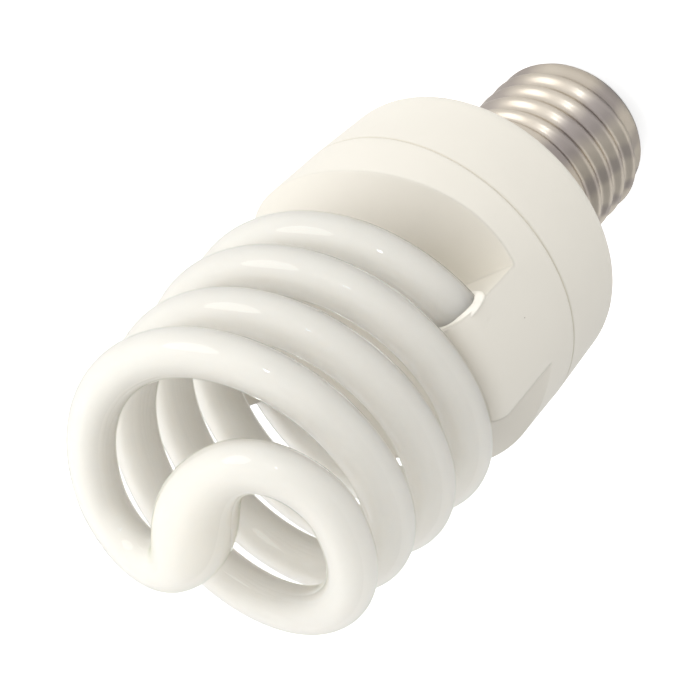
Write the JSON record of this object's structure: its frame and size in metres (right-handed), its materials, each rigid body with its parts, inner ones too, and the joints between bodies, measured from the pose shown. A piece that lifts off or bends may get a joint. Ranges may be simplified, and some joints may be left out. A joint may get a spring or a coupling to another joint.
{
  "type": "spiral energy saving bulb",
  "caption": "Compact fluorescent lamp: double-spiral glass tube with a bulged S-shaped bridge, ivory two-part ballast housing with scooped tube holder, and a screw cap.",
  "frame": {"origin": "centre of the end face of the centre contact", "axes": "+Z along the lamp's axis, from the screw cap to the bridge of the glass spiral; +X and +Y square to it"},
  "size_m": [0.0514, 0.0514, 0.1135],
  "materials": {
    "tube_glass": "clear glass over a white phosphor coat",
    "ivory_plastic": "warm ivory satin moulding",
    "nickel_sheet": "nickel-coloured rolled sheet",
    "black_insulator": "glossy black",
    "brass_contact": "plain stamped",
    "solder": "dull solder",
    "seal_cement": "cream cement",
    "board_laminate": "brown paper laminate",
    "capacitor_sleeve": "shrink sleeve",
    "ferrite": "dark sintered ferrite",
    "former_plastic": "black moulding",
    "copper_winding": "enamelled copper wire",
    "film_capacitor": "dipped red-brown coat",
    "black_package": "black resin",
    "resistor_body": "tan lacquer",
    "diode_glass": "small glass tube",
    "tinned_wire": "tinned wire",
    "lead_insulation": "soft sleeve"
  },
  "bodies": {
    "root": {"glass_spiral": "tube_glass", "tube_holder": "ivory_plastic", "ballast_housing": "ivory_plastic", "screw_shell": "nickel_sheet", "cap_insulator": "black_insulator", "centre_contact": "brass_contact", "contact_solder": "solder", "seal_cement_first": "seal_cement", "seal_cement_second": "seal_cement", "circuit_board": "board_laminate", "bulk_capacitor": "capacitor_sleeve", "choke_core": "ferrite", "choke_former": "former_plastic", "choke_winding": "copper_winding", "drive_ring": "ferrite", "drive_windings": "copper_winding", "resonance_capacitor": "film_capacitor", "coupling_capacitor": "film_capacitor", "upper_transistor": "black_package", "lower_transistor": "black_package", "rectifier_diodes": "black_package", "resistors": "resistor_body", "fusible_resistor": "resistor_body", "trigger_diode": "diode_glass", "filter_coil": "ferrite", "wrap_pins": "tinned_wire", "filament_wires": "tinned_wire", "live_lead": "lead_insulation", "neutral_lead": "lead_insulation"}
  },
  "joints": []
}
